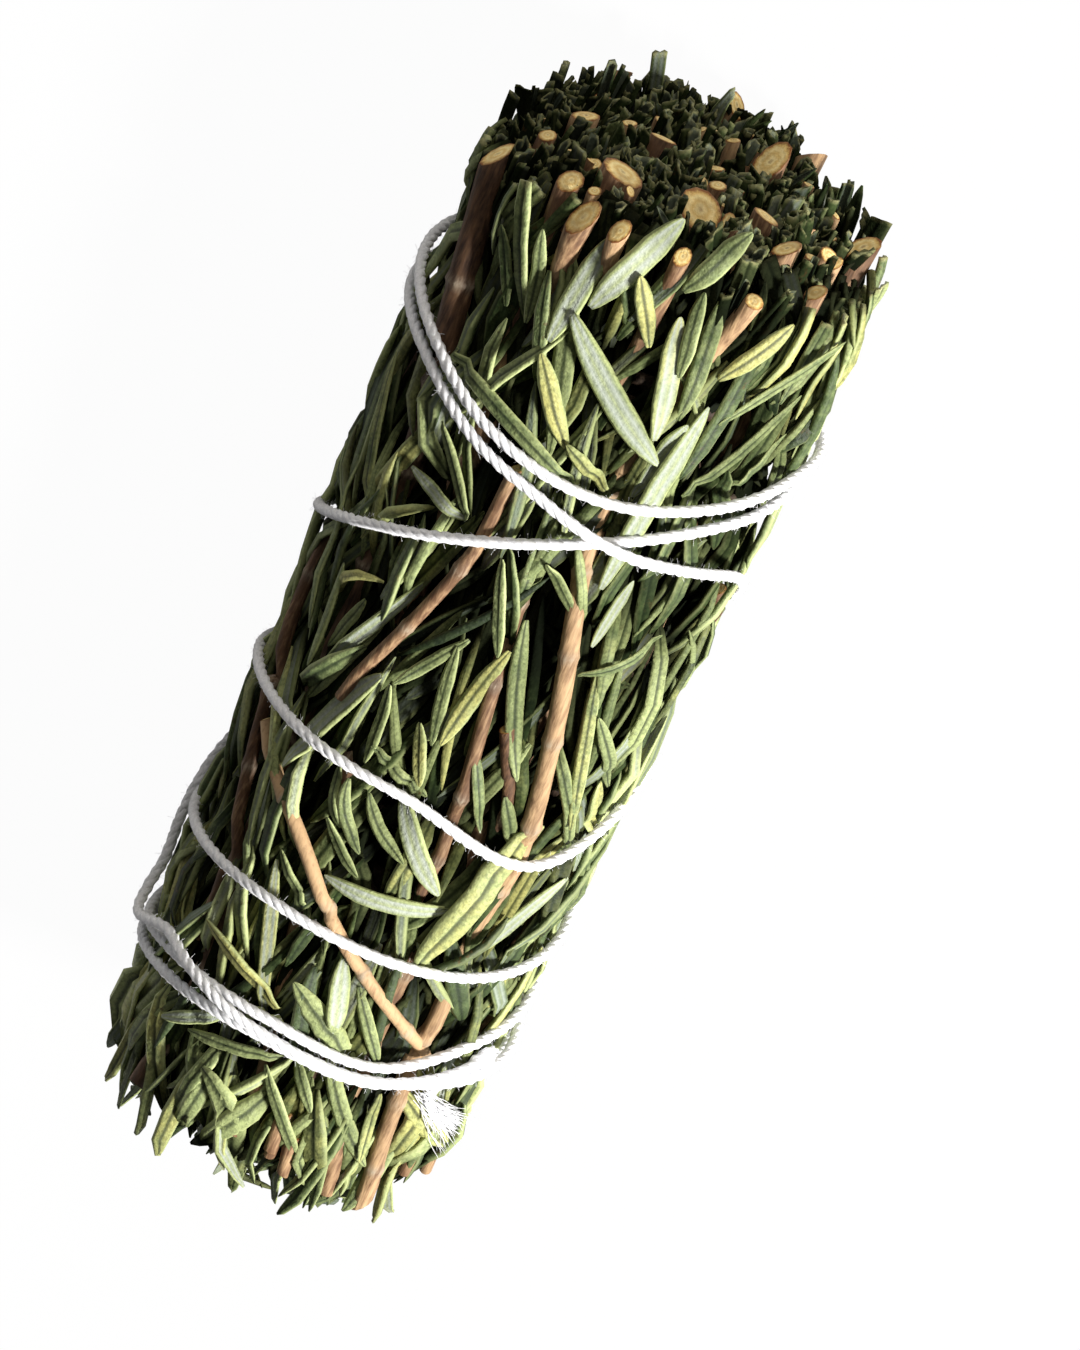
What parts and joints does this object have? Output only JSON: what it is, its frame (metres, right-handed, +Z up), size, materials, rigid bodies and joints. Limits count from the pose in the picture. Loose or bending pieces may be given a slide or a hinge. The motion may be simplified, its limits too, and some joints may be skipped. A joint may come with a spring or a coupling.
{
  "type": "rosemary bundle",
  "caption": "Dried rosemary sprigs laid together into a thick round bundle, cut flat at one end, leafy at the other, and tied round with one white cotton string.",
  "frame": {"origin": "bottom centre of the bounding box, on the surface the bundle lies on", "axes": "+X along the bundle towards its flat cut end, -X towards the leafy end, +Z up"},
  "size_m": [0.104, 0.0403, 0.0386],
  "materials": {
    "cotton_string": "twisted undyed cotton, matt, slightly hairy",
    "bare_twig": "thin dry tan bark, matt",
    "loose_leaf": null,
    "rosemary_sprig": null
  },
  "bodies": {
    "root": {"cotton_string": "cotton_string", "bare_twig_long": "bare_twig", "bare_twig_short": "bare_twig", "loose_leaf_1": "loose_leaf", "loose_leaf_2": "loose_leaf", "loose_leaf_3": "loose_leaf", "loose_leaf_4": "loose_leaf", "loose_leaf_5": "loose_leaf", "loose_leaf_6": "loose_leaf", "sprig_01": "rosemary_sprig", "sprig_02": "rosemary_sprig", "sprig_03": "rosemary_sprig", "sprig_04": "rosemary_sprig", "sprig_05": "rosemary_sprig", "sprig_06": "rosemary_sprig", "sprig_07": "rosemary_sprig", "sprig_08": "rosemary_sprig", "sprig_09": "rosemary_sprig", "sprig_10": "rosemary_sprig", "sprig_11": "rosemary_sprig", "sprig_12": "rosemary_sprig", "sprig_13": "rosemary_sprig", "sprig_14": "rosemary_sprig", "sprig_15": "rosemary_sprig", "sprig_16": "rosemary_sprig", "sprig_17": "rosemary_sprig", "sprig_18": "rosemary_sprig", "sprig_19": "rosemary_sprig", "sprig_20": "rosemary_sprig", "sprig_21": "rosemary_sprig", "sprig_22": "rosemary_sprig", "sprig_23": "rosemary_sprig", "sprig_24": "rosemary_sprig"}
  },
  "joints": []
}
